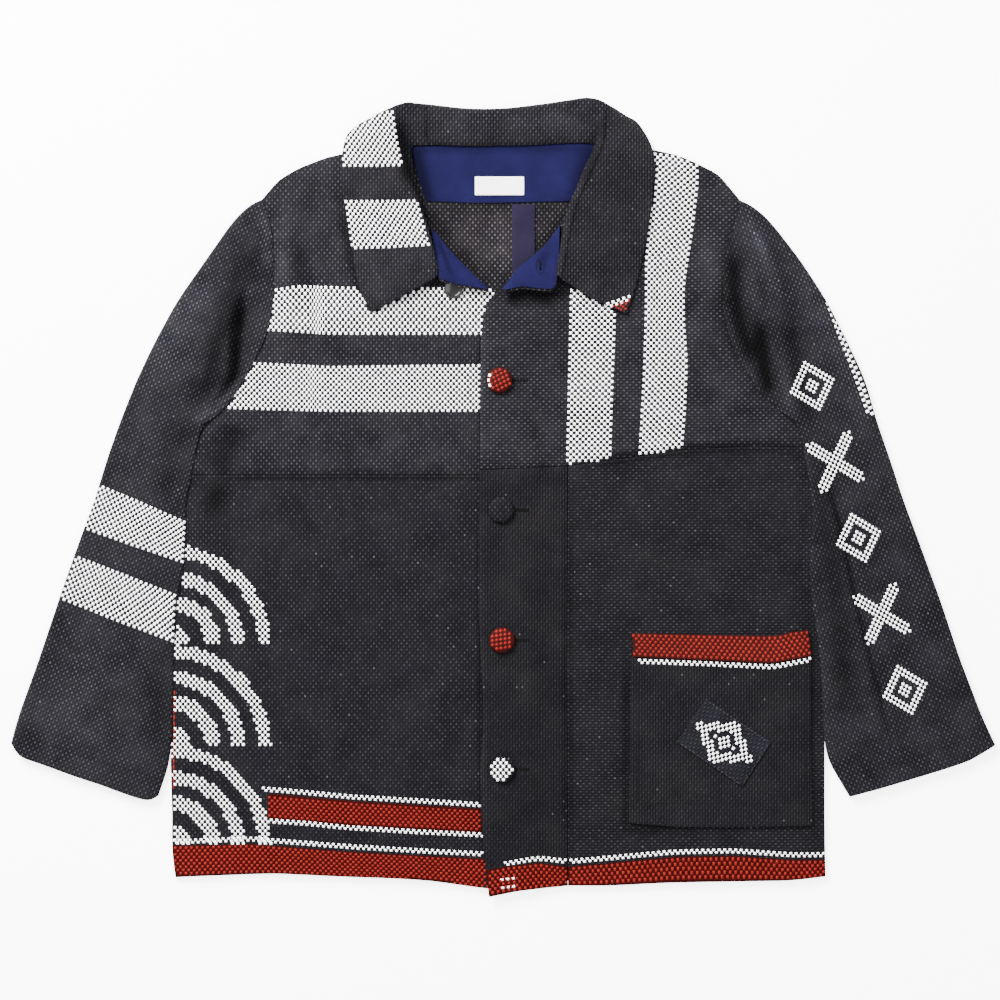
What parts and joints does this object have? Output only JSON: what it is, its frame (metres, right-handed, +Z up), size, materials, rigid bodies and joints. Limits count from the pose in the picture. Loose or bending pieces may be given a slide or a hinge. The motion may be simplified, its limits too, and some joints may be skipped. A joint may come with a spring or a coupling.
{
  "type": "sashiko jacket",
  "caption": "Button-front sashiko jacket laid flat: turned-down collar, long sleeves, striped chest panels, patch pocket and banded hem.",
  "frame": {"origin": "middle of the laid jacket's outline, on the surface it lies on", "axes": "+X to the wearer's left, across the sleeves; +Y from hem to collar; +Z up from the surface, towards the viewer"},
  "size_m": [0.9854, 0.7982, 0.0217],
  "materials": {
    "charcoal_weave": "coarse indigo-black sashiko weave, matte",
    "blue_cotton": "plain blue cotton facing, matte",
    "tape_cotton": "plain purple-brown tape",
    "label_weave": "white woven label, blank",
    "red_weave": "red sashiko band",
    "white_weave": "white sashiko stitches over dark cloth",
    "dark_gloss": "dark brown, polished"
  },
  "bodies": {
    "root": {"back_panel": "charcoal_weave", "front_right_upper": "charcoal_weave", "front_right_lower": "charcoal_weave", "front_left_upper": "charcoal_weave", "front_left_centre": "charcoal_weave", "front_left_side": "charcoal_weave", "sleeve_right": "charcoal_weave", "sleeve_left": "charcoal_weave", "collar": "charcoal_weave", "corner_right": "charcoal_weave", "corner_left": "charcoal_weave", "pocket": "charcoal_weave", "patch": "charcoal_weave", "button_2": "charcoal_weave", "facing_right": "blue_cotton", "facing_left": "blue_cotton", "neck_facing": "blue_cotton", "back_tape": "tape_cotton", "neck_label": "label_weave", "pocket_band": "red_weave", "button_1": "red_weave", "button_3": "red_weave", "button_4": "white_weave", "button_top": "dark_gloss"}
  },
  "joints": []
}
